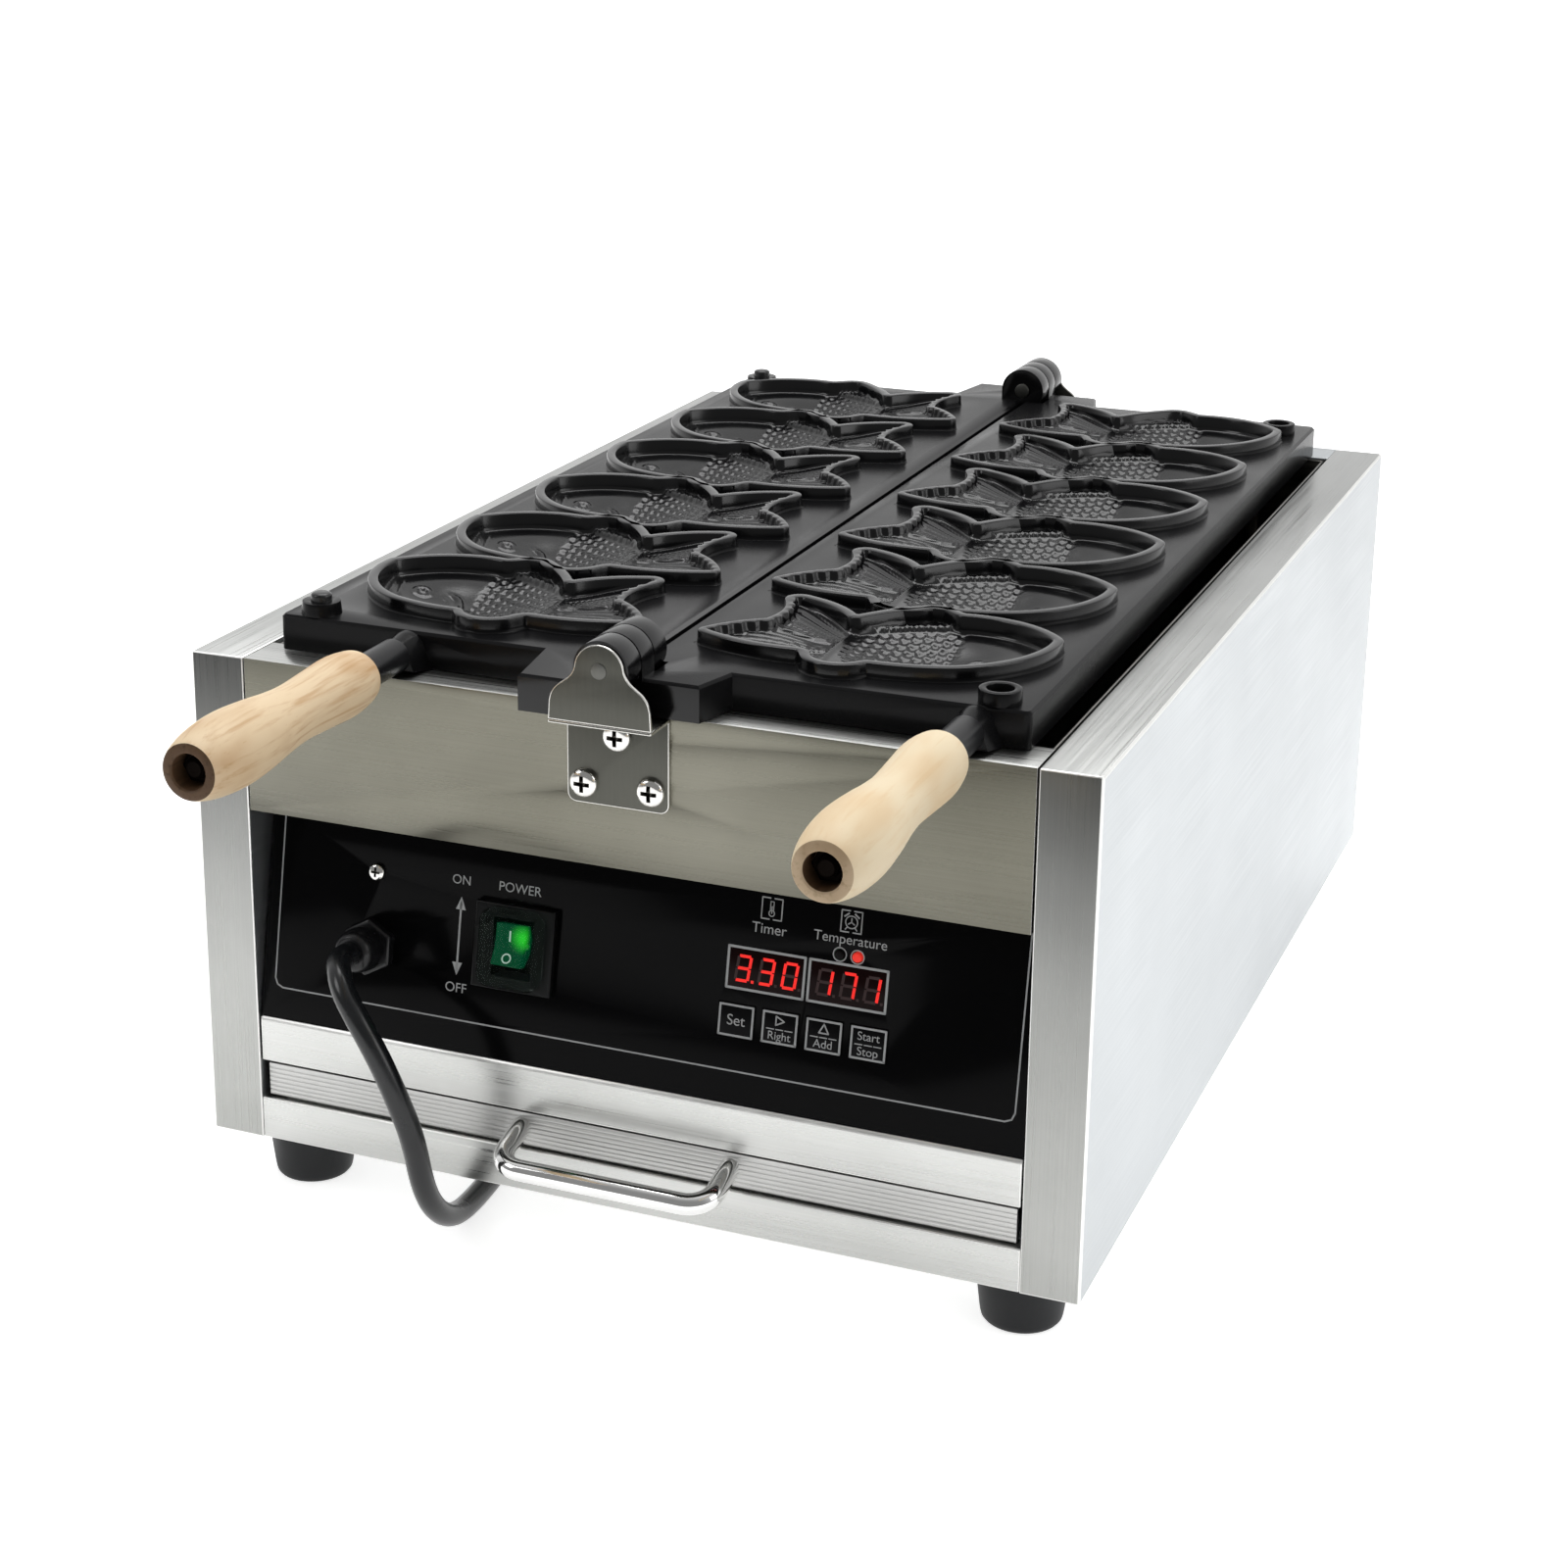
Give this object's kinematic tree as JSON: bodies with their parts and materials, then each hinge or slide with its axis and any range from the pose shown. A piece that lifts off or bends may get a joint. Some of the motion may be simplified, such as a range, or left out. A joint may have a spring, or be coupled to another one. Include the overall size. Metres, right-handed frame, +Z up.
{
  "type": "taiyaki maker",
  "caption": "Counter-top fish-cake maker: stainless cabinet, two book-hinged cast moulds of fish cavities, wooden grips, leaning control panel, crumb tray and mains lead.",
  "frame": {"origin": "middle of the machine's footprint over cabinet, brackets and grips, at floor level; the cord is left out", "axes": "+Y runs from the control panel and grips to the back, +X is to the right seen from the front, +Z is up"},
  "size_m": [0.431, 0.8652, 0.285],
  "materials": {
    "stainless": "brushed stainless sheet",
    "reflector": "plain sheet, darkened by heat",
    "heater_steel": "oxidised tube sheath",
    "bright_steel": "polished",
    "panel_black": "gloss black",
    "switch_black": "moulded, satin",
    "boot_clear": "clear soft plastic",
    "rocker_green": "translucent, lit",
    "display_red": "dark window with red digits",
    "lens_red": "lit lens",
    "lens_dark": "unlit lens",
    "key_black": "printed key",
    "board_green": "circuit board",
    "cord_black": "smooth sheath",
    "foot_rubber": "moulded rubber",
    "mould_coated": "cast, black non-stick coating",
    "rod_black": "satin black",
    "grip_wood": "turned light wood",
    "tray_face": "grooved, satin",
    "chrome": "polished"
  },
  "bodies": {
    "cabinet": {"left_side_panel": "stainless", "right_side_panel": "stainless", "base_pan": "stainless", "upper_front_panel": "stainless", "lower_front_rail": "stainless", "rear_panel": "stainless", "heater_chamber": "reflector", "left_heating_element": "heater_steel", "right_heating_element": "heater_steel", "front_hinge_bracket": "stainless", "back_hinge_bracket": "stainless", "front_hinge_pin": "bright_steel", "back_hinge_pin": "bright_steel", "front_bracket_screw_1": "bright_steel", "front_bracket_screw_2": "bright_steel", "front_bracket_screw_3": "bright_steel", "back_bracket_screw_1": "bright_steel", "back_bracket_screw_2": "bright_steel", "back_bracket_screw_3": "bright_steel", "control_panel": "panel_black", "panel_screw": "bright_steel", "switch_housing": "switch_black", "switch_boot": "boot_clear", "timer_display": "display_red", "temperature_display": "display_red", "power_indicator": "lens_dark", "heat_indicator": "lens_red", "controller_board": "board_green", "cable_gland": "switch_black", "gland_nut": "switch_black", "left_tray_runner": "stainless", "right_tray_runner": "stainless", "cord": "cord_black", "cord_coil": "cord_black", "cord_tail": "cord_black", "plug": "cord_black", "front_left_foot": "foot_rubber", "front_right_foot": "foot_rubber", "back_left_foot": "foot_rubber", "back_right_foot": "foot_rubber"},
    "left_mould_body": {"left_mould": "mould_coated", "front_locating_pin": "bright_steel", "back_locating_pin": "bright_steel", "left_handle_rod": "rod_black", "left_grip": "grip_wood", "left_grip_nut": "bright_steel"},
    "right_mould_body": {"right_mould": "mould_coated", "front_locating_socket": "mould_coated", "back_locating_socket": "mould_coated", "right_handle_rod": "rod_black", "right_grip": "grip_wood", "right_grip_nut": "bright_steel"},
    "tray_body": {"crumb_tray": "stainless", "tray_front": "tray_face", "tray_handle": "chrome"},
    "rocker_body": {"power_rocker": "rocker_green"},
    "set_key_body": {"set_key": "key_black"},
    "right_key_body": {"right_key": "key_black"},
    "up_key_body": {"up_key": "key_black"},
    "start_key_body": {"start_key": "key_black"}
  },
  "joints": [
    {"name": "left_mould_hinge", "type": "hinge", "parent": "cabinet", "child": "left_mould_body", "pos_m": [0, 0.066, 0.273], "axis": [0, 1, 0], "range_deg": [0, 180]},
    {"name": "right_mould_hinge", "type": "hinge", "parent": "cabinet", "child": "right_mould_body", "pos_m": [0, 0.066, 0.273], "axis": [0, -1, 0], "range_deg": [0, 180]},
    {"name": "crumb_tray_slide", "type": "slide", "parent": "cabinet", "child": "tray_body", "axis": [0, -1, 0], "range_m": [0, 0.025]},
    {"name": "power_rocker_tip", "type": "hinge", "parent": "cabinet", "child": "rocker_body", "pos_m": [-0.0535, -0.20789, 0.13505], "axis": [1, 0, 0], "range_deg": [0, 18]},
    {"name": "set_key_press", "type": "slide", "parent": "cabinet", "child": "set_key_body", "axis": [0, 0.9806, -0.1961], "range_m": [0, 0.0006], "stiffness_N_per_m": 300, "springref_m": -0.0006},
    {"name": "right_key_press", "type": "slide", "parent": "cabinet", "child": "right_key_body", "axis": [0, 0.9806, -0.1961], "range_m": [0, 0.0006], "stiffness_N_per_m": 300, "springref_m": -0.0006},
    {"name": "up_key_press", "type": "slide", "parent": "cabinet", "child": "up_key_body", "axis": [0, 0.9806, -0.1961], "range_m": [0, 0.0006], "stiffness_N_per_m": 300, "springref_m": -0.0006},
    {"name": "start_key_press", "type": "slide", "parent": "cabinet", "child": "start_key_body", "axis": [0, 0.9806, -0.1961], "range_m": [0, 0.0006], "stiffness_N_per_m": 300, "springref_m": -0.0006}
  ]
}
